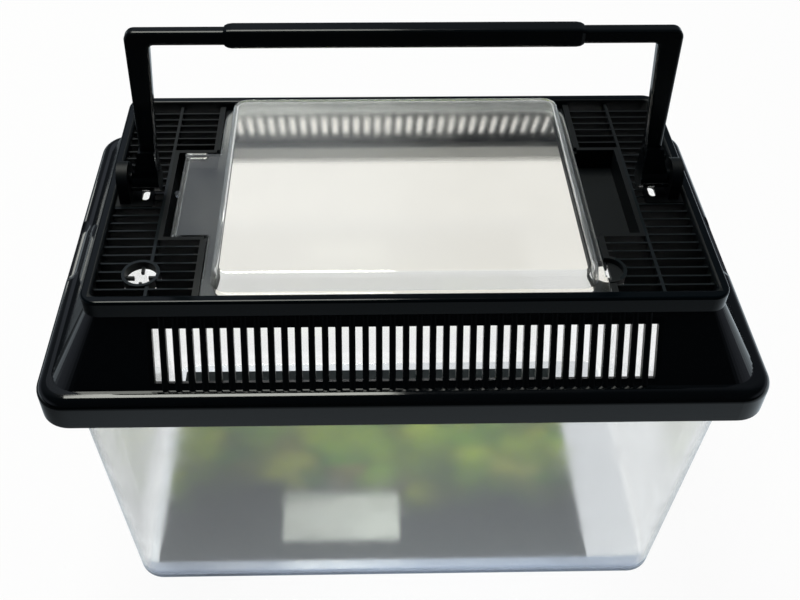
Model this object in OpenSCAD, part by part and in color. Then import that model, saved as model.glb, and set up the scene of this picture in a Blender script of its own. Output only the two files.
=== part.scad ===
// Clear plastic breeding box with a black vented lid, a clear feeding hatch and a folding carry handle.
// Millimetres, +Z up, +X to the right, front at -Y. The origin is the middle of the tank's underside.

/* [Tank] */
// Outer width of the tank at its base
tank_w = 205; // [160:1:260]
// Outer depth of the tank at its base
tank_d = 115; // [100:1:160]
// Height of the tank from its underside to the rim
tank_h = 123; // [80:1:180]
// Outward lean of every wall from base to rim
tank_lean = 6; // [2:0.2:8]
// Thickness of the tank's walls
tank_wall = 1.8; // [1.2:0.1:3]
// Thickness of the tank's floor
tank_floor = 2.2; // [1.4:0.1:4]
// Radius of the upright corners at the base
tank_corner = 10; // [7:0.5:16]
// Radius of the edge round the underside
base_round = 3; // [2.5:0.5:6]
// Width of the flange round the rim
rim_w = 3.5; // [2:0.1:5]
// Thickness of that flange
rim_t = 2; // [1.2:0.2:3]

/* [Insert card] */
// Width of the loose card on the floor
card_w = 173; // [100:1:176]
// Depth of the loose card
card_d = 99.5; // [60:0.5:101]
// Thickness of the card
card_t = 0.5; // [0.3:0.1:1]
// How far the card lies to the left of the middle
card_left = 9; // [0:0.5:9]

/* [Lid rim and walls] */
// Height of the skirt that hangs over the tank's rim
skirt_h = 12; // [7:0.5:16]
// Thickness of the skirt
skirt_t = 2; // [1.4:0.1:3]
// Play between the skirt and the tank's flange, per side
skirt_gap = 1; // [0.4:0.1:2]
// Gap between the ledge and the rim it sits on
seat_gap = 0.2; // [0.1:0.1:0.5]
// Radius of the skirt's corners in plan
lid_corner = 10.5; // [9:0.5:18]
// Radius of the shoulder between skirt and ledge
shoulder_r = 3.6; // [2.2:0.2:4]
// Width of the flat ledge, skirt included
ledge_w = 4.7; // [4.2:0.1:10]
// Thickness of the ledge
ledge_t = 3; // [2.6:0.1:3.4]
// Height of the sloping walls above the ledge
wall_rise = 21.2; // [16:0.2:32]
// Inward lean of the two end walls
side_lean = 12.8; // [6:0.2:14]
// Inward lean of the front and rear walls
front_lean = 11.6; // [5:0.2:12]
// Thickness of the sloping walls, measured level
wall_t = 2.2; // [1.6:0.1:3]
// Corner radius of the walls at the ledge
wall_corner_low = 9; // [7:0.5:12]
// Corner radius of the walls at the lip
wall_corner_top = 5; // [4:0.5:7]
// Length of the thumb scoop in the shoulder at each end
scoop_l = 27; // [16:1:40]
// Reach of the scoop on to the ledge
scoop_in = 4.4; // [3:0.1:4.4]
// Reach of the scoop down the skirt
scoop_down = 3; // [2:0.1:3.1]
// Radius of the scoop's hollow
scoop_r = 9; // [7:0.5:10]

/* [Wall vents] */
// Number of slots in the front wall, and in the rear one
slot_count = 38; // [20:1:40]
// Width of a slot
slot_w = 2.1; // [1.5:0.1:2.8]
// Distance from slot to slot
slot_pitch = 4.1; // [3.8:0.05:4.2]
// Plain strip of wall below the slots
slot_low = 2.4; // [1.6:0.2:4]
// Plain strip of wall above the slots
slot_high = 4.2; // [2:0.2:6]
// Plain edge of a vent panel beside its outer slots
slot_side = 1.6; // [1:0.2:3]
// How far the rounded bars stand proud of the wall
bar_crown = 0.5; // [0.2:0.1:0.8]

/* [Deck] */
// Height of the raised lip's band round the deck
lip_h = 5.8; // [4.6:0.2:9]
// Width of the lip
lip_w = 3.5; // [3:0.1:5]
// Radius of the lip's two upper edges
lip_round = 0.9; // [0.5:0.1:1.4]
// How far the lip overhangs the walls
lip_over = 0.5; // [0:0.1:1]
// Depth of the deck below the top of the lip
deck_drop = 2; // [1.5:0.1:3]
// Height of the grille's ribs
rib_h = 3.4; // [2.4:0.1:3.6]
// Width of a grille rib at its foot
rib_w = 1; // [0.8:0.1:1.6]
// Width of a grille rib along its top
rib_top = 0.6; // [0.3:0.1:0.8]
// Distance from rib to rib
rib_pitch = 3.85; // [3:0.05:5]
// Width of the bar beside the hatch at the end of each corner grille
bar_w = 2; // [1.4:0.1:3]
// Length of the finger pockets beside the hatch
pocket_l = 44.6; // [30:0.2:60]
// Width of the finger pockets
pocket_w = 14; // [13:0.5:18]
// Depth of the finger pockets below the deck
pocket_drop = 8; // [6:0.5:10]
// Thickness of the pockets' walls and floor
pocket_t = 1.5; // [1.2:0.1:2]
// Width of the rail that carries the hatch, along its sides
rail_w = 4.5; // [3.5:0.5:6]
// Width of that rail at the front and the back
rail_end = 1.6; // [1.4:0.1:4]
// Thickness of that rail
rail_t = 2.4; // [1.6:0.2:3]

/* [Ports] */
// Inner radius of the two round ports
port_r = 4.9; // [4.4:0.1:6]
// Wall of the collar round a port
port_wall = 1; // [0.9:0.1:2]
// Height of the collar above the deck
port_rise = 0.4; // [0.2:0.1:1.4]
// Depth of a port's tube below the deck's face
port_t = 2.6; // [2.6:0.1:6]
// Length of the four fingers inside a port
finger_l = 2.7; // [1.5:0.1:2.7]
// Width of those fingers
finger_w = 0.9; // [0.6:0.1:1.2]
// Thickness of those fingers, at the tube's lower end
finger_t = 1.2; // [0.8:0.1:2]
// Distance of the ports in front of the deck's middle
port_front = 39.4; // [36:0.2:41]
// Distance of the left port from the middle of the spine beside it
port_left_out = 2.6; // [0:0.2:3]
// Distance of the right port from the hatch's edge
port_right_out = 0.7; // [0:0.1:2]
// Distance from the right port's middle to the floor that closes its outer side
port_shut = 0.9; // [0:0.1:3]

/* [Hatch] */
// Width of the hatch across its flange, without the wing
hatch_w = 124.6; // [100:0.2:130]
// Thickness of the hatch's walls and flange
hatch_t = 1.4; // [1:0.1:2]
// Play between the hatch and the lip or bars round it
hatch_gap = 0.35; // [0.3:0.05:0.6]
// Width of the flange round the dome
flange_w = 2.3; // [1.6:0.1:4]
// Height of the dome above the flange
dome_h = 6.2; // [4.4:0.2:9]
// Inward draft of the dome's walls
dome_draft = 1.2; // [1:0.2:4]
// Radius of the dome's upper edge
dome_round = 1.8; // [1.6:0.2:3]
// Radius of the dome's corners in plan, at the flange
dome_corner = 6; // [5.5:0.5:14]
// Width of the pull wing on the left
wing_w = 12; // [8:0.2:12.4]
// Play between the wing and the ends of its pocket
wing_gap = 0.8; // [0.4:0.1:1.5]
// Radius of the bead along the wing's edge
bead_r = 1; // [0.7:0.1:1]
// Length of the ridge across the wing's rear end, from its outer edge
ridge_l = 8; // [4:0.5:10]
// Radius of the snap nub on the wing's edge
nub_r = 1.2; // [0.6:0.1:1.3]

/* [Handle] */
// Height of the pivot above the deck
pivot_h = 6.5; // [6:0.1:9]
// How far past the hatch's edge the middle of the folded bar lies
bail_past = 2.15; // [1:0.05:6]
// Thickness of the bail, front to back
bail_t = 4.2; // [3:0.1:4.8]
// Height of the bar of the bail
bar_h = 4.5; // [3:0.1:5]
// Width of a leg at the bar
leg_w_top = 7.1; // [5.6:0.1:8]
// Width of a leg at its hub
leg_w_low = 5.2; // [4:0.1:5.6]
// Outward spread of a leg from bar to hub
leg_spread = 1.8; // [0:0.1:3]
// Radius of the bail's outer corners
bail_corner = 3; // [2:0.5:7]
// Radius of the fillets inside the bail
bail_fillet = 1.5; // [1:0.5:4]
// Radius of the long edges of the bail and the grip
bail_edge = 1; // [0.4:0.1:1.2]
// Length of the grip
grip_l = 107; // [80:1:112]
// Thickness of the grip, front to back
grip_t = 5.7; // [5:0.1:7]
// Height of the grip
grip_h = 6; // [5.2:0.1:7]
// Length of the rounded ends of the grip
grip_end = 2.6; // [1:0.2:5]
// Radius of the hub round the pivot
hub_r = 4.4; // [4:0.1:5.4]
// Thickness of the hub's block, front to back
hub_t = 7; // [5:0.2:9]
// Height of the hub's block above the pivot
hub_h = 12.5; // [7:0.5:13.5]
// How far the hub flares out to its lug
hub_flare = 4.4; // [2:0.2:6]
// Radius of the pivot pin
pin_r = 2; // [1.5:0.1:2.6]
// Radial running clearance of the pin in its lug
pin_gap = 0.06; // [0.03:0.01:0.1]
// Thickness of the lug
lug_t = 3.6; // [2.4:0.2:5]
// Radius of the lug round the pin
lug_r = 5.5; // [4.4:0.1:6]
// Gap between hub and lug
lug_gap = 0.4; // [0.3:0.1:0.8]
// Radius of the ends of the long core hole in the pad under each hub
core_r = 1.2; // [1:0.1:2]
// Distance between the middles of those ends
core_l = 3.1; // [0:0.1:3.2]
// How far the middle of that hole lies in front of the pivot
core_front = 0.9; // [0:0.1:2]
// Thickness of that pad
pad_t = 1; // [0.8:0.1:2]

/* [Hidden] */

$fn = 64;
corner_steps = 12;
edge_steps = 3;
grip_sink = 0.4;
over = 1;

// Lid sizes follow from the tank that it covers
rim_hx = tank_w / 2 + tank_lean + rim_w;
rim_hy = tank_d / 2 + tank_lean + rim_w;
lid_hx = rim_hx + skirt_gap + skirt_t;
lid_hy = rim_hy + skirt_gap + skirt_t;
ledge_z = tank_h + seat_gap;
ledge_top = ledge_z + ledge_t;
skirt_z = ledge_top - skirt_h;
wall_top = ledge_top + wall_rise;

// Deck levels and plan
lip_top = wall_top + lip_h;
deck_top = lip_top - deck_drop;
deck_low = deck_top - rib_h;
lip_hx = lid_hx - ledge_w - side_lean + lip_over;
lip_hy = lid_hy - ledge_w - front_lean + lip_over;
lip_r = wall_corner_top + lip_over;
deck_hx = lip_hx - lip_w;
deck_hy = lip_hy - lip_w;

// Hatch, its seat and the pockets beside it
hatch_hx = hatch_w / 2;
hatch_hy = deck_hy - hatch_gap;
seat_z = deck_top - hatch_t - seat_gap;
bar_x = hatch_hx + hatch_gap;
pocket_x = bar_x + pocket_w;
spine_x = pocket_x + pocket_t;
pocket_hy = pocket_l / 2;
block_hy = pocket_hy + pocket_t;
dome_hx = hatch_hx - flange_w;
dome_hy = hatch_hy - flange_w;
port_hole = [[-spine_x - rib_w / 2 - port_left_out, -port_front], [hatch_hx + port_right_out, -port_front]];
port_out = port_r + port_wall;

// Handle, from the lug inwards
pivot_z = deck_top + pivot_h;
lug_x = deck_hx - lug_t - pocket_t;
hub_out = lug_x - lug_gap;
leg_out = hub_out - hub_flare;
leg_in = leg_out - leg_w_low;
bail_out = leg_out - leg_spread;
bail_in = bail_out - leg_w_top;
bail_rise = hatch_hy + bail_past;
bail_z = pivot_z + bail_rise;
leg_z = pivot_z + hub_h / 2;
core_x = leg_out + core_r / 3;
pad_in = core_x - core_r - pocket_t;
pad_hy = lug_r + pocket_t;

clear_colour = [0.86, 0.90, 0.94, 0.4];
black_colour = [0.08, 0.09, 0.10];
card_colour = [0.24, 0.30, 0.20];

// Rounded rectangle in plan, given by its half sizes
module rounded_rect(hx, hy, r) {
    square([2 * (hx - r), 2 * hy], center = true);
    square([2 * hx, 2 * (hy - r)], center = true);
    for (sx = [-1, 1], sy = [-1, 1])
        translate([sx * (hx - r), sy * (hy - r)]) circle(r);
}

// Carries a section round a rounded rectangle whose corner centres are at (cx, cy).
// The section's x is the distance out from those centres and its y is the height.
module around(cx, cy) {
    for (sx = [0, 1], sy = [0, 1])
        mirror([sx, 0, 0]) mirror([0, sy, 0])
            translate([cx, cy, 0]) rotate_extrude(angle = 90) children();
    for (s = [0, 1])
        mirror([s, 0, 0])
            translate([cx, cy, 0]) rotate([90, 0, 0]) linear_extrude(2 * cy) children();
    for (s = [0, 1])
        mirror([0, s, 0])
            translate([-cx, cy, 0]) rotate([90, 0, 90]) linear_extrude(2 * cx) children();
}

// Points of a rounded rectangle at height z, for a loft
function ring_points(hx, hy, r, z) = [
    for (k = [0:3], i = [0:corner_steps])
        let (
            a = 90 * (k + i / corner_steps),
            sx = k == 0 || k == 3 ? 1 : -1,
            sy = k < 2 ? 1 : -1
        )
        [sx * (hx - r) + r * cos(a), sy * (hy - r) + r * sin(a), z]
];

// Solid through a list of rings that have the same number of points
module loft(rings) {
    n = len(rings[0]);
    last = len(rings) - 1;
    sides = [
        for (k = [0:last - 1], i = [0:n - 1])
            let (j = (i + 1) % n)
            [k * n + j, k * n + i, (k + 1) * n + i, (k + 1) * n + j]
    ];
    low = [for (i = [0:n - 1]) i];
    high = [for (i = [n - 1:-1:0]) last * n + i];
    polyhedron(points = [for (r = rings) each r], faces = concat(sides, [low, high]));
}

// Outline of a tub: flat base, rounded edge, wall leaning out by the tank's lean
module tub_outline(r, base, edge) {
    a = atan(tank_lean / tank_h);
    cx = r - edge * (1 - sin(a)) / cos(a);
    polygon([
        [0, base],
        [cx, base],
        [cx + edge * cos(a), base + edge * (1 - sin(a))],
        [r + (tank_h - base + over) * tan(a), tank_h + over],
        [0, tank_h + over]
    ]);
    translate([cx, base + edge]) circle(edge);
}

// Section of the tank from the corner centres outwards, with its flange
module tank_section() {
    difference() {
        intersection() {
            tub_outline(tank_corner, 0, base_round);
            square([tank_corner + tank_lean, tank_h]);
        }
        tub_outline(
            tank_corner - tank_wall + tank_lean * tank_floor / tank_h,
            tank_floor,
            base_round - tank_wall / 2
        );
    }
    translate([tank_corner + tank_lean - tank_wall / 2, tank_h - rim_t])
        square([rim_w + tank_wall / 2, rim_t]);
}

// Clear tub: leaning walls, rounded base and corners, flange round the rim
module tank() {
    cx = tank_w / 2 - tank_corner;
    cy = tank_d / 2 - tank_corner;
    color(clear_colour) {
        around(cx, cy) tank_section();
        translate([-cx, -cy, 0]) cube([2 * cx, 2 * cy, tank_floor]);
    }
}

// Loose printed card that lies on the tank's floor
module insert_card() {
    color(card_colour)
        translate([-card_left, 0, tank_floor + card_t / 2]) cube([card_w, card_d, card_t], center = true);
}

// Half sizes and corner radius of the sloping walls at height z
function rise(z) = (z - ledge_top) / wall_rise;
function wall_ring(z, inset) = ring_points(
    lid_hx - ledge_w - side_lean * rise(z) - inset,
    lid_hy - ledge_w - front_lean * rise(z) - inset,
    wall_corner_low + (wall_corner_top - wall_corner_low) * rise(z) - inset,
    z
);

module wall_cavity() {
    loft([wall_ring(ledge_z - over, wall_t), wall_ring(wall_top + over, wall_t)]);
}

// Section of the skirt with its rounded shoulder
module skirt_section() {
    difference() {
        union() {
            translate([lid_corner - shoulder_r, skirt_z])
                square([shoulder_r, skirt_h - shoulder_r]);
            translate([lid_corner - shoulder_r, ledge_top - shoulder_r])
                intersection() {
                    circle(shoulder_r);
                    square(shoulder_r);
                }
        }
        translate([lid_corner - shoulder_r - over, skirt_z - over])
            square([shoulder_r + over - skirt_t, skirt_h + over - ledge_t]);
    }
}

// Hollow for a thumb in the shoulder at the right end, with round ends
module thumb_scoop() {
    chord = sqrt(scoop_in * scoop_in + scoop_down * scoop_down);
    away = sqrt(scoop_r * scoop_r - chord * chord / 4);
    straight = scoop_l - chord;
    translate([
        lid_hx - scoop_in / 2 + away * scoop_down / chord,
        0,
        ledge_top - scoop_down / 2 + away * scoop_in / chord
    ]) {
        rotate([90, 0, 0]) cylinder(r = scoop_r, h = straight, center = true);
        for (s = [-1, 1]) translate([0, s * straight / 2, 0]) sphere(scoop_r);
    }
}

// Places a panel drawn in plan on the front wall: y runs up the slope, z points out
wall_tilt = atan(front_lean / wall_rise);
wall_length = wall_rise / cos(wall_tilt);
wall_depth = wall_t * cos(wall_tilt);
slots_w = (slot_count - 1) * slot_pitch + slot_w;
slots_l = wall_length - slot_low - slot_high;
vent_w = slots_w + 2 * slot_side;
vent_l = wall_length - (slot_low + slot_high) / 2;

module on_front_wall() {
    translate([0, -(lid_hy - ledge_w), ledge_top])
        rotate([90 - wall_tilt, 0, 0]) children();
}

// Outline of a vent panel, which ends half way down the plain strips
module vent_outline() {
    translate([-vent_w / 2, slot_low / 2]) square([vent_w, vent_l]);
}

module vent_window() {
    on_front_wall() translate([0, 0, -wall_depth - over])
        linear_extrude(wall_depth + 2 * over) vent_outline();
}

// Rim, ledge and sloping walls of the lid, open above and below, with a window for each vent
module lid_shell() {
    color(black_colour) difference() {
        union() {
            around(lid_hx - lid_corner, lid_hy - lid_corner) skirt_section();
            translate([0, 0, ledge_z]) linear_extrude(ledge_t)
                rounded_rect(lid_hx - shoulder_r, lid_hy - shoulder_r, lid_corner - shoulder_r);
            loft([wall_ring(ledge_top, 0), wall_ring(wall_top, 0)]);
        }
        wall_cavity();
        for (s = [0, 1]) {
            mirror([0, s, 0]) vent_window();
            mirror([s, 0, 0]) thumb_scoop();
        }
    }
}

// Rounded front of one vent bar, on the face of the wall
module bar_front() {
    bar = slot_pitch - slot_w;
    crown_r = (bar * bar / 4 + bar_crown * bar_crown) / (2 * bar_crown);
    intersection() {
        translate([0, bar_crown - crown_r]) circle(crown_r);
        translate([-bar / 2, 0]) square([bar, bar_crown]);
    }
}

// Vent panel in its own plane: a slotted plate, and rounded bar fronts that run from the ledge to the lip
module vent_panel() {
    translate([0, 0, -wall_depth]) linear_extrude(wall_depth) difference() {
        vent_outline();
        for (i = [0:slot_count - 1])
            translate([(i - slot_count / 2) * slot_pitch + (slot_pitch - slot_w) / 2, slot_low])
                square([slot_w, slots_l]);
    }
    translate([0, wall_length - bar_crown, 0]) rotate([90, 0, 0])
        linear_extrude(wall_length - bar_crown)
            for (i = [1:slot_count - 1])
                translate([(i - slot_count / 2) * slot_pitch, 0]) bar_front();
}

module front_vent_grille() {
    color(black_colour) on_front_wall() vent_panel();
}

module rear_vent_grille() {
    color(black_colour) mirror([0, 1, 0]) on_front_wall() vent_panel();
}

// Section of the lip, with two rounded edges on top
module lip_section() {
    translate([lip_r - lip_w, wall_top]) {
        square([lip_w, lip_h - lip_round]);
        translate([lip_round, 0]) square([lip_w - 2 * lip_round, lip_h]);
        for (x = [lip_round, lip_w - lip_round]) translate([x, lip_h - lip_round]) circle(lip_round);
    }
}

// Open rail that the hatch sits on, across the deck from lip to lip
module hatch_rail() {
    translate([0, 0, seat_z - rail_t]) linear_extrude(rail_t) difference() {
        square([2 * bar_x, 2 * deck_hy], center = true);
        rounded_rect(bar_x - rail_w, deck_hy - rail_end, dome_corner - flange_w);
    }
}

// Finger pocket on the right of the hatch: floor, end walls, outer wall and the wall under the rail
module finger_pocket() {
    low = deck_top - pocket_drop;
    translate([bar_x - pocket_t, -block_hy, low - pocket_t]) difference() {
        cube([pocket_w + 2 * pocket_t, 2 * block_hy, pocket_drop + pocket_t]);
        translate([pocket_t, pocket_t, pocket_t])
            cube([pocket_w, 2 * pocket_hy, pocket_drop + over]);
        translate([-over, -over, seat_z - low + pocket_t])
            cube([pocket_t + 2 * over, 2 * block_hy + 2 * over, pocket_drop]);
    }
}

// Upright lug with the bore for the handle's pin, on a pad that joins it to the lip
module pivot_lug() {
    translate([0, 0, deck_top - pad_t]) linear_extrude(pad_t) difference() {
        translate([pad_in, -pad_hy]) square([deck_hx - pad_in, 2 * pad_hy]);
        translate([core_x, -core_front]) {
            for (s = [-1, 1]) translate([0, s * core_l / 2]) circle(core_r);
            square([2 * core_r, core_l], center = true);
        }
    }
    translate([lug_x, 0, pivot_z]) rotate([90, 0, 90]) linear_extrude(lug_t) difference() {
        union() {
            circle(lug_r);
            translate([-lug_r, -pivot_h - pad_t / 2]) square([2 * lug_r, pivot_h + pad_t / 2]);
        }
        circle(pin_r + pin_gap);
    }
}

// Round port: a short tube, with four fingers at its lower end that point to its middle
module port() {
    translate([0, 0, deck_top - port_t]) {
        linear_extrude(port_t + port_rise) difference() {
            circle(port_out);
            circle(port_r);
        }
        linear_extrude(finger_t) for (a = [0:90:270])
            rotate(a) translate([port_r - finger_l, -finger_w / 2])
                square([finger_l + port_wall / 2, finger_w]);
    }
}

// Floor across the outer side of the port beside the hatch
module port_floor() {
    translate([0, 0, deck_top - port_t]) linear_extrude(finger_t) intersection() {
        circle(port_r + port_wall / 2);
        translate([port_shut, -port_out]) square([port_out, 2 * port_out]);
    }
}

// Clears the deck for a port
module port_bore(r) {
    translate([0, 0, seat_z - pocket_drop]) cylinder(r = r, h = pocket_drop + deck_drop + lip_h);
}

// Space on the right of the hatch's flange
module beside_hatch() {
    translate([bar_x, -deck_hy, deck_top - port_t]) cube([deck_hx - bar_x, 2 * deck_hy, port_t + lip_h]);
}

// Bite in the rail for the port beside the hatch, with a rim of its own under the flange
module rail_with_bite() {
    difference() {
        union() {
            hatch_rail();
            translate([0, 0, deck_top - port_t]) intersection() {
                translate(port_hole[1]) cylinder(r = port_out, h = seat_z - deck_top + port_t);
                translate([0, -deck_hy, 0]) cube([bar_x, 2 * deck_hy, port_t]);
            }
        }
        translate(port_hole[1]) port_bore(port_r);
    }
}

// Lip, hatch rail, finger pockets and handle lugs of the lid
module lid_deck() {
    color(black_colour) {
        around(lip_hx - lip_r, lip_hy - lip_r) lip_section();
        rail_with_bite();
        for (s = [0, 1]) mirror([s, 0, 0]) {
            finger_pocket();
            pivot_lug();
        }
    }
}

// Heights of the ribs are the same on every grille, and so are their places from front to back
rib_last = floor((deck_hy - rib_pitch / 2) / rib_pitch);
block_first = ceil((block_hy + rib_pitch / 2) / rib_pitch);

module ribs(x0, x1, first, last) {
    translate([x0, 0, deck_low]) rotate([90, 0, 90]) linear_extrude(x1 - x0)
        for (k = [first:last])
            translate([k * rib_pitch, 0]) polygon([
                [-rib_w / 2, 0],
                [rib_w / 2, 0],
                [rib_top / 2, rib_h],
                [-rib_top / 2, rib_h]
            ]);
}

// Comb of ribs from the lip to the spine, along the right end of the deck
module deck_grille() {
    difference() {
        union() {
            ribs(spine_x, deck_hx, -rib_last, rib_last);
            translate([spine_x, -deck_hy, deck_low]) cube([rib_w, 2 * deck_hy, rib_h]);
        }
        translate([pad_in, -pad_hy, deck_top - pad_t]) cube([deck_hx, 2 * pad_hy, pad_t + over]);
        translate([core_x - core_r, -pad_hy / 2, deck_low - over])
            cube([deck_hx, 1.5 * pad_hy, rib_h + 2 * over]);
    }
}

module left_deck_grille() {
    color(black_colour) {
        difference() {
            mirror([1, 0, 0]) deck_grille();
            translate(port_hole[0]) port_bore(port_out);
        }
        translate(port_hole[0]) port();
    }
}

module right_deck_grille() {
    color(black_colour) deck_grille();
}

// Comb of ribs between the spine and the bar beside the hatch, in the deck's rear right corner
module corner_grille() {
    ribs(bar_x, spine_x, block_first, rib_last);
    translate([bar_x, block_hy, deck_low]) cube([bar_w, deck_hy - block_hy, rib_h]);
}

module front_left_grille() {
    color(black_colour) difference() {
        rotate([0, 0, 180]) corner_grille();
        translate(port_hole[0]) port_bore(port_out);
    }
}

module front_right_grille() {
    color(black_colour) {
        difference() {
            mirror([0, 1, 0]) corner_grille();
            translate(port_hole[1]) port_bore(port_out);
        }
        intersection() {
            translate(port_hole[1]) {
                port();
                port_floor();
            }
            beside_hatch();
        }
    }
}

module rear_left_grille() {
    color(black_colour) mirror([1, 0, 0]) corner_grille();
}

module rear_right_grille() {
    color(black_colour) corner_grille();
}

// Outline of the hatch's dome: drafted wall and rounded upper edge, as high as top
module dome_outline(r, top, edge) {
    a = atan(dome_draft / dome_h);
    z = deck_top - hatch_t;
    cx = r - (top - z) * tan(a) - edge * (1 - sin(a)) / cos(a);
    polygon([
        [0, z - over],
        [r + over * tan(a), z - over],
        [cx + edge * cos(a), top - edge + edge * sin(a)],
        [cx, top],
        [0, top]
    ]);
    translate([cx, top - edge]) circle(edge);
}

module dome_section() {
    top = deck_top + dome_h;
    difference() {
        union() {
            intersection() {
                dome_outline(dome_corner, top, dome_round);
                translate([0, deck_top - hatch_t]) square([dome_corner, dome_h + hatch_t]);
            }
            translate([0, deck_top - hatch_t]) square([dome_corner + flange_w - hatch_t / 2, hatch_t]);
            translate([dome_corner + flange_w - hatch_t / 2, deck_top - hatch_t / 2]) circle(hatch_t / 2);
        }
        dome_outline(dome_corner - hatch_t, top - hatch_t, dome_round - hatch_t / 2);
    }
}

// Fills the flange out to a square corner at the front
module front_corner(s) {
    out = dome_corner + flange_w;
    difference() {
        translate([s > 0 ? 0 : -out, -out]) square(out);
        circle(out - flange_w / 2);
    }
}

// Clear hatch: dome with a flat top, narrow flange, pull wing with a beaded edge and a snap nub on the left
module hatch() {
    cx = dome_hx - dome_corner;
    cy = dome_hy - dome_corner;
    wing_hy = pocket_hy - wing_gap;
    color(clear_colour) {
        around(cx, cy) dome_section();
        translate([-cx, -cy, deck_top + dome_h - hatch_t]) cube([2 * cx, 2 * cy, hatch_t]);
        translate([0, 0, deck_top - hatch_t]) linear_extrude(hatch_t) {
            translate([bead_r - hatch_hx - wing_w, -wing_hy])
                square([wing_w + flange_w / 2 - bead_r, 2 * wing_hy]);
            translate([-hatch_hx - wing_w, 0]) circle(nub_r);
            for (s = [-1, 1]) translate([s * cx, -cy]) front_corner(s);
        }
        translate([bead_r - hatch_hx - wing_w, 0, deck_top - hatch_t / 2]) {
            rotate([90, 0, 0]) cylinder(r = bead_r, h = 2 * wing_hy, center = true);
            translate([0, wing_hy - bead_r, hatch_t / 2]) {
                rotate([0, 90, 0]) cylinder(r = bead_r, h = ridge_l - 2 * bead_r);
                for (x = [0, ridge_l - 2 * bead_r]) translate([x, 0, 0]) sphere(bead_r);
            }
        }
    }
}

// Arc of points in the plane of the bail
function bend(cx, cz, r, from, to) = [
    for (i = [0:corner_steps])
        let (a = from + (to - from) * i / corner_steps)
        [cx + r * cos(a), cz + r * sin(a)]
];

// Outer edge of the bail from the right foot over the bar to the left foot, drawn in by inset
function bail_outer(inset) = concat(
    [[leg_out - inset, leg_z]],
    bend(bail_out - bail_corner, bail_z + bar_h / 2 - bail_corner, bail_corner - inset, 0, 90),
    bend(bail_corner - bail_out, bail_z + bar_h / 2 - bail_corner, bail_corner - inset, 90, 180),
    [[inset - leg_out, leg_z]]
);

// Inner edge of the bail, station by station beside the outer one
function bail_inner(inset) = concat(
    [[leg_in + inset, leg_z]],
    bend(bail_in - bail_fillet, bail_z - bar_h / 2 - bail_fillet, bail_fillet + inset, 0, 90),
    bend(bail_fillet - bail_in, bail_z - bar_h / 2 - bail_fillet, bail_fillet + inset, 90, 180),
    [[-leg_in - inset, leg_z]]
);

// How far a point of a rounded edge lies in from the bail's side, and out from its middle plane
function edge_in(k) = bail_edge * (1 - cos(90 * k / edge_steps));
function edge_out(k) = bail_t / 2 - bail_edge * (1 - sin(90 * k / edge_steps));

// Sections of the bail with four rounded edges, one at each station along it
function bail_rings() =
    let (
        far = [for (k = [0:edge_steps]) bail_outer(edge_in(k))],
        near = [for (k = [0:edge_steps]) bail_inner(edge_in(k))]
    )
    [for (i = [0:len(far[0]) - 1]) concat(
        [for (k = [edge_steps:-1:0]) [far[k][i].x, -edge_out(k), far[k][i].y]],
        [for (k = [0:edge_steps]) [far[k][i].x, edge_out(k), far[k][i].y]],
        [for (k = [edge_steps:-1:0]) [near[k][i].x, edge_out(k), near[k][i].y]],
        [for (k = [0:edge_steps]) [near[k][i].x, -edge_out(k), near[k][i].y]]
    )];

// Section of the grip with four rounded edges, at the place x along it
function grip_ring(x, t, h) = [
    for (q = [0:3], k = [0:edge_steps])
        let (
            a = 90 * (q + k / edge_steps),
            y = (q == 0 || q == 3 ? 1 : -1) * (t / 2 - bail_edge),
            z = (q < 2 ? 1 : -1) * (h / 2 - bail_edge)
        )
        [x, y + bail_edge * cos(a), bail_z + z + bail_edge * sin(a)]
];

// Sections along the grip's left end, which swells from inside the bar in a quarter round,
// and along its right end when s is 1
function grip_rings(s) = [
    for (k = [0:edge_steps])
        let (
            a = 90 * (s > 0 ? edge_steps - k : k) / edge_steps,
            t = bail_t - grip_sink,
            h = bar_h - grip_sink
        )
        grip_ring(
            s * (grip_l / 2 - grip_end * (1 - cos(a))),
            t + (grip_t - t) * sin(a),
            h + (grip_h - h) * sin(a)
        )
];

// Foot of a leg: block with a round underside, flared out to the lug, with the pivot pin
module hub() {
    intersection() {
        translate([0, hub_t, 0]) rotate([90, 0, 0]) linear_extrude(2 * hub_t) polygon([
            [leg_in, pivot_z - hub_r],
            [hub_out, pivot_z - hub_r],
            [hub_out, pivot_z - hub_r / 2],
            [leg_out, pivot_z + hub_h],
            [leg_in, pivot_z + hub_h]
        ]);
        translate([0, 0, pivot_z]) rotate([90, 0, 90]) linear_extrude(lug_x) {
            circle(hub_r);
            translate([-hub_t / 2, 0]) square([hub_t, hub_h]);
        }
    }
    translate([hub_out - lug_gap, 0, pivot_z]) rotate([0, 90, 0])
        cylinder(r = pin_r, h = lug_t + 2 * lug_gap);
}

// Folding bail: bar, grip, two legs and their hubs in one moulding
module handle() {
    color(black_colour) {
        loft(bail_rings());
        loft(concat(grip_rings(-1), grip_rings(1)));
        for (s = [0, 1]) mirror([s, 0, 0]) hub();
    }
}

tank();
insert_card();
lid_shell();
front_vent_grille();
rear_vent_grille();
lid_deck();
left_deck_grille();
right_deck_grille();
front_left_grille();
front_right_grille();
rear_left_grille();
rear_right_grille();
hatch();
handle();
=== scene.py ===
import math

import bpy
from mathutils import Matrix, Vector

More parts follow.
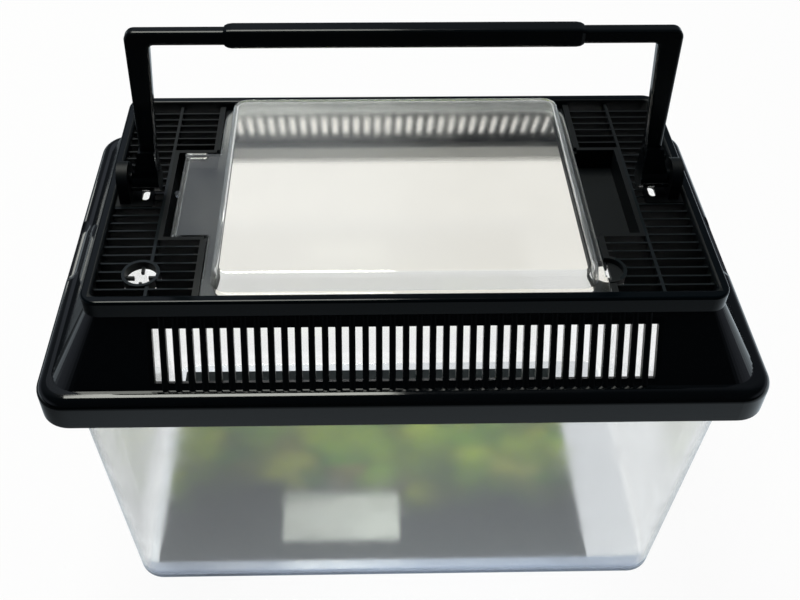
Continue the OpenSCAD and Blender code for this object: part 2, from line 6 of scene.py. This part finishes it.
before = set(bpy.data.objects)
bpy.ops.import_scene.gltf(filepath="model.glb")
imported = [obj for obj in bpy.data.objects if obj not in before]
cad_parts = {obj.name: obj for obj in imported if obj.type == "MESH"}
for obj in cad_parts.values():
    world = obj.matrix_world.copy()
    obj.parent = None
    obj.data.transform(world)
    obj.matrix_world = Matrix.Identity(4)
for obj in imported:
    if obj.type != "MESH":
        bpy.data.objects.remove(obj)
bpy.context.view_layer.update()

# Tank
# The tub is one moulding of clear polystyrene, with leaning walls and a flanged rim.
# A polished mould leaves its faces bright, and handling leaves a breath of haze on them.
MM = 0.001
POLYSTYRENE_IOR = 1.59
LEVEL_FROM, LEVEL_TO = 0.9, 0.99
MILK_BLEND_MM = 4
FRONT_BLEND_MM = 8
FRONT_CLEARING = 0.6
RUBBED_PATCH_MM = 14
WORN_FROM_MM, WORN_TO_MM = 10, 48
WAVE_HEIGHT_MM = 0.1


def linear(hex_colour):
    """An sRGB hex colour as linear RGBA."""
    parts = [int(hex_colour[i:i + 2], 16) / 255 for i in (1, 3, 5)]
    channels = [c / 12.92 if c <= 0.04045 else ((c + 0.055) / 1.055) ** 2.4 for c in parts]
    return (*channels, 1.0)


def add_node(tree, kind, inputs=None, **settings):
    """Adds a node with its settings, and fills each socket with a value or a link."""
    node = tree.nodes.new(kind)
    for name, value in settings.items():
        setattr(node, name, value)
    for socket, value in (inputs or {}).items():
        if isinstance(value, bpy.types.NodeSocket):
            tree.links.new(value, node.inputs[socket])
        else:
            node.inputs[socket].default_value = value
    return node


def new_material(name):
    """An empty node material, its node tree, and the object coordinates that its patterns read."""
    material = bpy.data.materials.new(name)
    material.use_nodes = True
    tree = material.node_tree
    tree.nodes.clear()
    return material, tree, add_node(tree, "ShaderNodeTexCoord").outputs["Object"]


def dress(material, *names):
    """Gives CAD nodes their finish."""
    for name in names:
        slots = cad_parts[name].data.materials
        slots.clear()
        slots.append(material)


def clear_polystyrene(name, wall_painted_shade, flat_painted_light_and_shade, edge_painted_shade, edge_mm, haze, wave_mm,
                      wall_milk=0.0, edge_milk=0.0, rim_milk=0.0, rim_mm=None, front_mm=None,
                      worn=0.0):
    """Clear moulded polystyrene: glass-bright, with slow flow waves and rubbed haze.
    Walls, flat plates and one edge have their own tints, which are painted light and shade:
    a painted grey shade on the tank's flat plates and front base edge, a painted warm light on
    the hatch's top and a painted cool shade on its walls. The edge lies in front of a depth and
    below a height, both in edge_mm. Milk clouds the walls, that edge and the rim above rim_mm,
    and a wall in front of front_mm is clearer than the others. Worn adds haze towards the back.
    Rays from lamps pass straight through, as through a thin wall."""
    material, tree, place = new_material(name)
    axes = add_node(tree, "ShaderNodeSeparateXYZ", {0: place})
    edge_depth, edge_height = edge_mm
    beyond = add_node(tree, "ShaderNodeMath", {
        0: axes.outputs["Y"], 1: edge_depth * MM}, operation="GREATER_THAN")
    high = add_node(tree, "ShaderNodeMapRange", {
        "Value": axes.outputs["Z"], "From Min": (edge_height - MILK_BLEND_MM) * MM,
        "From Max": edge_height * MM}, interpolation_type="SMOOTHSTEP")
    plain = add_node(tree, "ShaderNodeMath", {
        0: beyond.outputs[0], 1: high.outputs[0]}, operation="MAXIMUM")
    facing = add_node(tree, "ShaderNodeSeparateXYZ", {
        0: add_node(tree, "ShaderNodeTexCoord").outputs["Normal"]})
    level = add_node(tree, "ShaderNodeMath", {0: facing.outputs["Z"]}, operation="ABSOLUTE")
    flat = add_node(tree, "ShaderNodeMapRange", {
        "Value": level.outputs[0], "From Min": LEVEL_FROM, "From Max": LEVEL_TO})
    if front_mm is not None:
        front = add_node(tree, "ShaderNodeMapRange", {
            "Value": axes.outputs["Y"], "From Min": (front_mm - FRONT_BLEND_MM) * MM,
            "From Max": front_mm * MM, "To Min": FRONT_CLEARING, "To Max": 0.0})
        flat = add_node(tree, "ShaderNodeMath", {
            0: flat.outputs[0], 1: front.outputs[0]}, operation="MAXIMUM")
    # Painted light and shade: walls, flat plates and the edge each get their own tint.
    shade = add_node(tree, "ShaderNodeMix", {
        0: flat.outputs[0], "A": linear(wall_painted_shade), "B": linear(flat_painted_light_and_shade)}, data_type="RGBA")
    colour = add_node(tree, "ShaderNodeMix", {
        0: plain.outputs[0], "A": linear(edge_painted_shade), "B": shade.outputs["Result"]},
        data_type="RGBA")
    clear_wall = add_node(tree, "ShaderNodeMapRange", {
        "Value": flat.outputs[0], "To Min": 1 - wall_milk, "To Max": 1.0})
    clear_edge = add_node(tree, "ShaderNodeMapRange", {
        "Value": plain.outputs[0], "To Min": 1 - edge_milk, "To Max": 1.0})
    clear = add_node(tree, "ShaderNodeMath", {
        0: clear_wall.outputs[0], 1: clear_edge.outputs[0]}, operation="MINIMUM")
    if rim_mm is not None:
        clear_rim = add_node(tree, "ShaderNodeMapRange", {
            "Value": axes.outputs["Z"], "From Min": (rim_mm - MILK_BLEND_MM) * MM,
            "From Max": rim_mm * MM, "To Min": 1.0, "To Max": 1 - rim_milk})
        clear = add_node(tree, "ShaderNodeMath", {
            0: clear.outputs[0], 1: clear_rim.outputs[0]}, operation="MINIMUM")
    waves = add_node(tree, "ShaderNodeTexNoise", {
        "Vector": place, "Scale": 1 / (wave_mm * MM), "Detail": 1.0})
    patchy = add_node(tree, "ShaderNodeTexNoise", {
        "Vector": place, "Scale": 1 / (RUBBED_PATCH_MM * MM), "Detail": 5.0})
    roughness = add_node(tree, "ShaderNodeMapRange", {
        "Value": patchy.outputs[0], "From Min": 0.4, "From Max": 0.7,
        "To Min": haze[0], "To Max": haze[1]})
    if worn:
        held = add_node(tree, "ShaderNodeMapRange", {
            "Value": axes.outputs["Y"], "From Min": WORN_FROM_MM * MM, "From Max": WORN_TO_MM * MM,
            "To Min": 0.0, "To Max": worn})
        roughness = add_node(tree, "ShaderNodeMath", {
            0: roughness.outputs[0], 1: held.outputs[0]}, operation="ADD")
    bump = add_node(tree, "ShaderNodeBump", {
        "Height": waves.outputs[0], "Strength": 0.2, "Distance": WAVE_HEIGHT_MM * MM})
    plastic = add_node(tree, "ShaderNodeBsdfPrincipled", {
        "Base Color": colour.outputs["Result"], "Roughness": roughness.outputs[0],
        "IOR": POLYSTYRENE_IOR, "Transmission Weight": clear.outputs[0], "Normal": bump.outputs[0]})
    lamp_light = add_node(tree, "ShaderNodeBsdfTransparent", {"Color": linear("#F2F5F8")})
    rays = add_node(tree, "ShaderNodeLightPath")
    surface = add_node(tree, "ShaderNodeMixShader", {
        0: rays.outputs["Is Shadow Ray"], 1: plastic.outputs[0], 2: lamp_light.outputs[0]})
    add_node(tree, "ShaderNodeOutputMaterial", {"Surface": surface.outputs[0]})
    return material


# The thick front base edge carries a painted cool grey shade and the flat plates a painted
# grey shade, and the flanged rim looks frosted.
dress(
    clear_polystyrene(
        "clear_polystyrene_tank",
        wall_painted_shade="#FCFDFD", flat_painted_light_and_shade="#DDE0E3", edge_painted_shade="#B4C0D6",
        edge_mm=(-49.5, 7), edge_milk=0.45, rim_mm=119, rim_milk=0.85,
        haze=(0.1, 0.17), wave_mm=30),
    "tank",
)

# Insert card
# A loose sheet of coated card lies on the tank's floor.
# It is printed edge to edge, with leaf greens that fade into a dark ground and one bare pale panel.
LEAF_MM = 17
LEAF_SLANT = math.radians(28)
LEAF_SLIMNESS = 2.3
DRIFT_MM = 40
WANDER_MM = 46
FADE_MM = 22
REAR_BAND_MM = 38
PANEL_MIDDLE_MM = (-22, -30)
PANEL_HALF_MM = (24, 11)
# Real fibres are finer than this, and would not show.
FIBRE_MM = 0.8
FIBRE_HEIGHT_MM = 0.05


def printed_card():
    """Coated card: soft leaf greens on a dark ground, under a dull coat."""
    material, tree, place = new_material("coated_printed_card")
    axes = add_node(tree, "ShaderNodeSeparateXYZ", {0: place})
    drift = add_node(tree, "ShaderNodeTexNoise", {
        "Vector": place, "Scale": 1 / (DRIFT_MM * MM), "Detail": 3.0, "Distortion": 0.5})
    slanted = add_node(tree, "ShaderNodeMapping", {
        "Vector": place, "Rotation": (0, 0, LEAF_SLANT), "Scale": (1.0, LEAF_SLIMNESS, 1.0)})
    leaf = add_node(tree, "ShaderNodeTexVoronoi", {
        "Vector": slanted.outputs[0], "Scale": 1 / (LEAF_MM * MM), "Randomness": 0.9})
    chance = add_node(tree, "ShaderNodeSeparateColor", {0: leaf.outputs["Color"]})
    green = add_node(tree, "ShaderNodeMix", {
        0: chance.outputs[0], "A": linear("#4F8230"), "B": linear("#AEB83E")}, data_type="RGBA")
    dried = add_node(tree, "ShaderNodeMapRange", {
        "Value": chance.outputs[1], "From Min": 0.7, "From Max": 0.9})
    foliage = add_node(tree, "ShaderNodeMix", {
        0: dried.outputs[0], "A": green.outputs["Result"], "B": linear("#7A7048")},
        data_type="RGBA")
    rim = add_node(tree, "ShaderNodeMapRange", {
        "Value": leaf.outputs["Distance"], "From Min": 0.35, "From Max": 0.75,
        "To Min": 0.0, "To Max": 0.7})
    leaves = add_node(tree, "ShaderNodeMix", {
        0: rim.outputs[0], "A": foliage.outputs["Result"], "B": linear("#33402A")},
        data_type="RGBA")
    wander = add_node(tree, "ShaderNodeMath", {
        0: drift.outputs[0], 1: WANDER_MM * MM, 2: axes.outputs["Y"]}, operation="MULTIPLY_ADD")
    fade = add_node(tree, "ShaderNodeMapRange", {
        "Value": wander.outputs[0], "From Min": 0.0, "From Max": FADE_MM * MM},
        interpolation_type="SMOOTHSTEP")
    before = add_node(tree, "ShaderNodeMath", {
        0: axes.outputs["Y"], 1: REAR_BAND_MM * MM}, operation="LESS_THAN")
    bed = add_node(tree, "ShaderNodeMath", {
        0: fade.outputs[0], 1: before.outputs[0]}, operation="MULTIPLY")
    ground = add_node(tree, "ShaderNodeMix", {
        0: bed.outputs[0], "A": linear("#24282A"), "B": leaves.outputs["Result"]}, data_type="RGBA")
    across, along = [add_node(tree, "ShaderNodeMath", {
        0: axes.outputs[axis], 1: middle * MM, 2: half * MM}, operation="COMPARE").outputs[0]
        for axis, middle, half in zip("XY", PANEL_MIDDLE_MM, PANEL_HALF_MM)]
    panel = add_node(tree, "ShaderNodeMath", {0: across, 1: along}, operation="MULTIPLY")
    ink = add_node(tree, "ShaderNodeMix", {
        0: panel.outputs[0], "A": ground.outputs["Result"], "B": linear("#C8CAC4")},
        data_type="RGBA")
    fibres = add_node(tree, "ShaderNodeTexNoise", {
        "Vector": place, "Scale": 1 / (FIBRE_MM * MM), "Detail": 3.0})
    roughness = add_node(tree, "ShaderNodeMapRange", {
        "Value": fibres.outputs[0], "To Min": 0.38, "To Max": 0.56})
    bump = add_node(tree, "ShaderNodeBump", {
        "Height": fibres.outputs[0], "Strength": 0.1, "Distance": FIBRE_HEIGHT_MM * MM})
    coat = add_node(tree, "ShaderNodeBsdfPrincipled", {
        "Base Color": ink.outputs["Result"], "Roughness": roughness.outputs[0],
        "Specular IOR Level": 0.06, "Normal": bump.outputs[0]})
    add_node(tree, "ShaderNodeOutputMaterial", {"Surface": coat.outputs[0]})
    return material


dress(printed_card(), "insert_card")

# Lid
# One moulding of black polystyrene carries the skirt, the slotted walls, the lip and the deck.
# The mould was polished, so the plastic is glossy, with a faint orange peel and finger smudges.
# The lid presses on to the tank's rim.
PEEL_MM = 1.2
PEEL_HEIGHT_MM = 0.02
LID_SMUDGE_MM = 24
SATIN_ROUGHNESS = 0.5
SHEEN_ROUGHNESS = 0.16
FLAT_TOP = 0.995
SHEEN_MOST_MM, SHEEN_LEAST_MM = -5, 25
INSIDE_LIP_MM = (95.4, 51.2)
END_RIBS_MM = (66, 150.5)


def black_plastic(name, colour, specular, gloss, smudge_mm, satin_mm=None, sheen_mm=None):
    """Black moulded plastic: deep black, bright at its edges, dulled a little by handling.
    It is satin inside the two half sizes of satin_mm. There its flat tops beyond a half width and
    above a height, both in sheen_mm, are glossier and carry a painted grey sheen, most at the
    front."""
    material, tree, place = new_material(name)
    peel = add_node(tree, "ShaderNodeTexNoise", {
        "Vector": place, "Scale": 1 / (PEEL_MM * MM), "Detail": 2.0})
    smudges = add_node(tree, "ShaderNodeTexNoise", {
        "Vector": place, "Scale": 1 / (smudge_mm * MM), "Detail": 4.0, "Distortion": 0.6})
    roughness = add_node(tree, "ShaderNodeMapRange", {
        "Value": smudges.outputs[0], "From Min": 0.35, "From Max": 0.7,
        "To Min": gloss[0], "To Max": gloss[1]})
    bump = add_node(tree, "ShaderNodeBump", {
        "Height": peel.outputs[0], "Strength": 0.08, "Distance": PEEL_HEIGHT_MM * MM})
    plastic = add_node(tree, "ShaderNodeBsdfPrincipled", {
        "Base Color": linear(colour), "Roughness": roughness.outputs[0], "IOR": 1.5,
        "Specular IOR Level": specular, "Normal": bump.outputs[0]})
    add_node(tree, "ShaderNodeOutputMaterial", {"Surface": plastic.outputs[0]})
    if satin_mm:
        axes = add_node(tree, "ShaderNodeSeparateXYZ", {0: place})
        across, along = [add_node(tree, "ShaderNodeMath", {
            0: axes.outputs[axis], 1: 0.0, 2: half * MM}, operation="COMPARE").outputs[0]
            for axis, half in zip("XY", satin_mm)]
        inside = add_node(tree, "ShaderNodeMath", {0: across, 1: along}, operation="MULTIPLY")
        roughness = add_node(tree, "ShaderNodeMix", {
            0: inside.outputs[0], "A": roughness.outputs[0], "B": SATIN_ROUGHNESS})
        tree.links.new(roughness.outputs[0], plastic.inputs["Roughness"])
    if satin_mm and sheen_mm:
        facing = add_node(tree, "ShaderNodeSeparateXYZ", {
            0: add_node(tree, "ShaderNodeTexCoord").outputs["Normal"]})
        flat = add_node(tree, "ShaderNodeMath", {
            0: facing.outputs["Z"], 1: FLAT_TOP}, operation="GREATER_THAN")
        sideways = add_node(tree, "ShaderNodeMath", {0: axes.outputs["X"]}, operation="ABSOLUTE")
        outer = add_node(tree, "ShaderNodeMath", {
            0: sideways.outputs[0], 1: sheen_mm[0] * MM}, operation="GREATER_THAN")
        high = add_node(tree, "ShaderNodeMath", {
            0: axes.outputs["Z"], 1: sheen_mm[1] * MM}, operation="GREATER_THAN")
        patchy = add_node(tree, "ShaderNodeMapRange", {
            "Value": axes.outputs["Y"], "From Min": SHEEN_MOST_MM * MM,
            "From Max": SHEEN_LEAST_MM * MM, "To Min": 1.0, "To Max": 0.2})
        for part in flat, outer, high:
            patchy = add_node(tree, "ShaderNodeMath", {
                0: patchy.outputs[0], 1: part.outputs[0]}, operation="MULTIPLY")
        roughness = add_node(tree, "ShaderNodeMix", {
            0: patchy.outputs[0], "A": roughness.outputs[0], "B": SHEEN_ROUGHNESS})
        # Painted sheen: the flat tops are made grey where they would catch the light.
        shade = add_node(tree, "ShaderNodeMix", {
            0: patchy.outputs[0], "A": linear(colour), "B": linear("#1C2124")}, data_type="RGBA")
        tree.links.new(roughness.outputs[0], plastic.inputs["Roughness"])
        tree.links.new(shade.outputs["Result"], plastic.inputs["Base Color"])
    return material


# The shell has a wet shine that draws its edges in white.
dress(
    black_plastic(
        "glossy_black_polystyrene_lid", "#05080B", specular=0.5, gloss=(0.06, 0.12),
        smudge_mm=LID_SMUDGE_MM),
    "lid_shell",
)
# The bars between the slots are duller than the shell, so the slots stand out.
dress(
    black_plastic(
        "satin_black_polystyrene_vents", "#05080B", specular=0.2, gloss=(0.25, 0.35),
        smudge_mm=LID_SMUDGE_MM),
    "front_vent_grille", "rear_vent_grille",
)
# The deck shines on its lip, and is satin inside it.
dress(
    black_plastic(
        "black_polystyrene_deck", "#03080C", specular=0.22, gloss=(0.1, 0.16),
        smudge_mm=LID_SMUDGE_MM, satin_mm=INSIDE_LIP_MM),
    "lid_deck",
)
# The ribs at the ends show as fine grey lines on black: their flat tops carry a painted grey
# sheen, most at the front.
dress(
    black_plastic(
        "black_polystyrene_ribs", "#03080C", specular=0.25, gloss=(0.1, 0.16),
        smudge_mm=LID_SMUDGE_MM, satin_mm=INSIDE_LIP_MM, sheen_mm=END_RIBS_MM),
    "left_deck_grille", "right_deck_grille", "front_left_grille",
    "front_right_grille", "rear_left_grille", "rear_right_grille",
)

# Hatch
# The feeding hatch is a thin clear cover, moulded in polystyrene, with a wing to lift it by.
# It drops into the deck, and its leaning walls look a little milky beside the clear top.
# Its flat top carries a painted warm light, its walls a painted cool shade, and its front edge a
# faint painted shade.
dress(
    clear_polystyrene(
        "clear_polystyrene_hatch",
        wall_painted_shade="#EEF2F7", flat_painted_light_and_shade="#FFFCF4", edge_painted_shade="#F4F6F8",
        edge_mm=(-49, 152), wall_milk=0.16, front_mm=-38,
        haze=(0.01, 0.05), worn=0.2, wave_mm=40),
    "hatch",
)

# Handle
# The bail with its thicker grip is one moulding of black polypropylene.
# Its face is satin, with a soft shine along the grip, and its pins snap into the deck's lugs.
dress(
    black_plastic(
        "satin_black_polypropylene_handle", "#0B0F12", specular=0.2, gloss=(0.12, 0.2),
        smudge_mm=30),
    "handle",
)

# Floor
# A wide sheet of plain white paper lies under the object.
# Its near end and a strip at its left are in shade, and the gloss of the lid shows that.
FLOOR_DROP = 0.2 * MM
FLOOR_SIZE = 8.0
SHARE_OF_WHITE = 0.95
WHITE = (1.0, 1.0, 1.0, 1.0)
SHADE_FROM, SHADE_TO, SHADE_LEVEL = 0.05, -0.36, 0.02
STRIP_RIGHT_FROM, STRIP_RIGHT_TO, STRIP_LEVEL = -0.1, -0.25, 0.06
STRIP_LEFT_FROM, STRIP_LEFT_TO = -0.4, -0.75

material, tree, place = new_material("white_paper")
axes = add_node(tree, "ShaderNodeSeparateXYZ", {0: place})
paper = add_node(tree, "ShaderNodeBsdfDiffuse", {"Color": linear("#F2F2F2")})
rays = add_node(tree, "ShaderNodeLightPath")
depth = add_node(tree, "ShaderNodeMapRange", {
    "Value": axes.outputs["Y"], "From Min": SHADE_TO, "From Max": SHADE_FROM,
    "To Min": SHADE_LEVEL, "To Max": 1.0}, interpolation_type="SMOOTHSTEP")
near = add_node(tree, "ShaderNodeMapRange", {
    "Value": axes.outputs["X"], "From Min": STRIP_RIGHT_TO, "From Max": STRIP_RIGHT_FROM,
    "To Min": STRIP_LEVEL, "To Max": 1.0}, interpolation_type="SMOOTHSTEP")
far = add_node(tree, "ShaderNodeMapRange", {
    "Value": axes.outputs["X"], "From Min": STRIP_LEFT_TO, "From Max": STRIP_LEFT_FROM,
    "To Min": 1.0, "To Max": 0.0}, interpolation_type="SMOOTHSTEP")
beside = add_node(tree, "ShaderNodeMath", {
    0: near.outputs[0], 1: far.outputs[0]}, operation="MAXIMUM")
lit = add_node(tree, "ShaderNodeMath", {
    0: depth.outputs[0], 1: beside.outputs[0]}, operation="MULTIPLY")
# A ray bent by clear plastic counts as glossy too, and is not a mirrored one.
mirrored = add_node(tree, "ShaderNodeMath", {
    0: rays.outputs["Is Glossy Ray"], 1: rays.outputs["Is Transmission Ray"]},
    operation="SUBTRACT", use_clamp=True)
glow_level = add_node(tree, "ShaderNodeMix", {
    0: mirrored.outputs[0], "A": 1.0, "B": lit.outputs[0]})
glow_tone = add_node(tree, "ShaderNodeMix", {
    0: mirrored.outputs[0], "A": WHITE, "B": linear("#DDEAF2")}, data_type="RGBA")
glow = add_node(tree, "ShaderNodeEmission", {
    "Color": glow_tone.outputs["Result"], "Strength": glow_level.outputs[0]})
seen = add_node(tree, "ShaderNodeMath", {
    0: rays.outputs["Is Camera Ray"], 1: rays.outputs["Is Transmission Ray"]}, operation="MAXIMUM")
seen_share = add_node(tree, "ShaderNodeMath", {
    0: seen.outputs[0], 1: SHARE_OF_WHITE}, operation="MULTIPLY")
glow_share = add_node(tree, "ShaderNodeMath", {
    0: seen_share.outputs[0], 1: mirrored.outputs[0]}, operation="MAXIMUM")
sheet = add_node(tree, "ShaderNodeMixShader", {
    0: glow_share.outputs[0], 1: paper.outputs[0], 2: glow.outputs[0]})
add_node(tree, "ShaderNodeOutputMaterial", {"Surface": sheet.outputs[0]})

bpy.ops.mesh.primitive_plane_add(size=FLOOR_SIZE, location=(0, 0, -FLOOR_DROP))
floor = bpy.context.object
floor.name = "floor"
floor.data.materials.append(material)

# Light
# A softbox high over the left rear is the key, and a small lamp low at the left rear lights the
# lid's end. The dim room is palest in a pane high behind the object and low at both sides.
ROOM_FRONT, ROOM_BACK = 0.02, 0.12
BELOW_HORIZON = 0.15
PANE_WAY = (-0.15, 0.73, 0.667)
PANE_LEVEL, SIDE_LEVEL = 0.4, 0.3
# Each span is where a fade starts and ends, as a share of a unit direction.
BACK_SPAN, HORIZON_SPAN, PANE_SPAN = (-0.2, 0.6), (-0.05, 0.1), (0.96, 0.998)
SIDE_SPAN, SIDE_TOP_SPAN, WHITE_TOP_SPAN = (0.5, 1.0), (0.15, 0.5), (0.2, 0.45)
KEY_PLACE, KEY_SIZE, KEY_WATTS = (-0.24, 0.42, 1.5), (0.58, 1.0), 19
LEFT_PLACE, LEFT_SIZE, LEFT_WATTS = (-1.13, 1.09, 0.26), (0.2, 0.24), 0.4
LID_LEFT_END = (-0.112, 0.01, 0.124)

world = bpy.data.worlds.new("studio")
bpy.context.scene.world = world
world.use_nodes = True
tree = world.node_tree
tree.nodes.clear()
way = add_node(tree, "ShaderNodeTexCoord").outputs["Generated"]
axes = add_node(tree, "ShaderNodeSeparateXYZ", {0: way})
behind = add_node(tree, "ShaderNodeMapRange", {
    "Value": axes.outputs["Y"], "From Min": BACK_SPAN[0], "From Max": BACK_SPAN[1],
    "To Min": ROOM_FRONT, "To Max": ROOM_BACK}, interpolation_type="SMOOTHSTEP")
above = add_node(tree, "ShaderNodeMapRange", {
    "Value": axes.outputs["Z"], "From Min": HORIZON_SPAN[0], "From Max": HORIZON_SPAN[1],
    "To Min": BELOW_HORIZON, "To Max": 1.0})
room = add_node(tree, "ShaderNodeMath", {
    0: behind.outputs[0], 1: above.outputs[0]}, operation="MULTIPLY")
toward = add_node(tree, "ShaderNodeVectorMath", {0: way, 1: PANE_WAY}, operation="DOT_PRODUCT")
pane = add_node(tree, "ShaderNodeMapRange", {
    "Value": toward.outputs["Value"], "From Min": PANE_SPAN[0], "From Max": PANE_SPAN[1],
    "To Min": 0.0, "To Max": PANE_LEVEL}, interpolation_type="SMOOTHSTEP")
sideways = add_node(tree, "ShaderNodeMath", {0: axes.outputs["X"]}, operation="ABSOLUTE")
sides = add_node(tree, "ShaderNodeMapRange", {
    "Value": sideways.outputs[0], "From Min": SIDE_SPAN[0], "From Max": SIDE_SPAN[1],
    "To Min": 0.0, "To Max": SIDE_LEVEL}, interpolation_type="SMOOTHSTEP")
low = add_node(tree, "ShaderNodeMapRange", {
    "Value": axes.outputs["Z"], "From Min": SIDE_TOP_SPAN[0], "From Max": SIDE_TOP_SPAN[1],
    "To Min": 1.0, "To Max": 0.0}, interpolation_type="SMOOTHSTEP")
walls = add_node(tree, "ShaderNodeMath", {
    0: sides.outputs[0], 1: low.outputs[0]}, operation="MULTIPLY")
room_and_pane = add_node(tree, "ShaderNodeMath", {
    0: room.outputs[0], 1: pane.outputs[0]}, operation="ADD")
room_light = add_node(tree, "ShaderNodeMath", {
    0: room_and_pane.outputs[0], 1: walls.outputs[0]}, operation="ADD")
# The background is white to the eye, and near the horizon through clear plastic too.
rays = add_node(tree, "ShaderNodeLightPath")
near_horizon = add_node(tree, "ShaderNodeMapRange", {
    "Value": axes.outputs["Z"], "From Min": WHITE_TOP_SPAN[0], "From Max": WHITE_TOP_SPAN[1],
    "To Min": 1.0, "To Max": 0.0})
through = add_node(tree, "ShaderNodeMath", {
    0: rays.outputs["Is Transmission Ray"], 1: near_horizon.outputs[0]}, operation="MULTIPLY")
seen = add_node(tree, "ShaderNodeMath", {
    0: rays.outputs["Is Camera Ray"], 1: through.outputs[0]}, operation="MAXIMUM")
white = add_node(tree, "ShaderNodeMath", {
    0: seen.outputs[0], 1: SHARE_OF_WHITE}, operation="MULTIPLY")
strength = add_node(tree, "ShaderNodeMath", {
    0: room_light.outputs[0], 1: white.outputs[0]}, operation="MAXIMUM")
tone = add_node(tree, "ShaderNodeMix", {
    0: seen.outputs[0], "A": linear("#E4EEFF"), "B": WHITE}, data_type="RGBA")
background = add_node(tree, "ShaderNodeBackground", {
    "Color": tone.outputs["Result"], "Strength": strength.outputs[0]})
add_node(tree, "ShaderNodeOutputWorld", {"Surface": background.outputs[0]})


def softbox(name, place, aim, size, watts):
    """A rectangular area lamp at a place, turned to a point."""
    lamp = bpy.data.lights.new(name, "AREA")
    lamp.shape = "RECTANGLE"
    lamp.size, lamp.size_y = size
    lamp.energy = watts
    lamp.color = linear("#FDFFF6")[:3]
    box = bpy.data.objects.new(name, lamp)
    bpy.context.scene.collection.objects.link(box)
    box.location = place
    box.rotation_euler = (Vector(aim) - Vector(place)).to_track_quat("-Z", "Y").to_euler()


softbox("key_softbox", KEY_PLACE, (*KEY_PLACE[:2], 0), KEY_SIZE, KEY_WATTS)
softbox("left_strip", LEFT_PLACE, LID_LEFT_END, LEFT_SIZE, LEFT_WATTS)

# Camera
# It looks down at the front of the box from a little to the left, as a person at a table would.
# Its place and angles were solved from the photo, and a small shift keeps the photo's framing.
PHOTO_WIDTH = 800
FOCAL_PIXELS = 1005.55
AXIS_PIXEL = (372.81, 290.31)
CENTRE_PIXEL = (400, 300)
CAMERA_PLACE = (-0.01525, -0.26515, 0.3644)
YAW, PITCH, ROLL = 0.0241, 0.7752, 0.0076

forward = Vector((
    math.sin(YAW) * math.cos(PITCH), math.cos(YAW) * math.cos(PITCH), -math.sin(PITCH)))
level = Vector((math.cos(YAW), -math.sin(YAW), 0))
upright = level.cross(forward)
right = math.cos(ROLL) * level + math.sin(ROLL) * upright
up = right.cross(forward)
lens = bpy.data.cameras.new("camera")
lens.sensor_width = 36
lens.lens = FOCAL_PIXELS * lens.sensor_width / PHOTO_WIDTH
lens.shift_x = (CENTRE_PIXEL[0] - AXIS_PIXEL[0]) / PHOTO_WIDTH
lens.shift_y = (AXIS_PIXEL[1] - CENTRE_PIXEL[1]) / PHOTO_WIDTH
lens.clip_start = 0.01
camera = bpy.data.objects.new("camera", lens)
bpy.context.scene.collection.objects.link(camera)
turn = Matrix((right, up, -forward)).transposed().to_4x4()
camera.matrix_world = Matrix.Translation(CAMERA_PLACE) @ turn
bpy.context.scene.camera = camera
bpy.context.scene.view_settings.view_transform = "Standard"
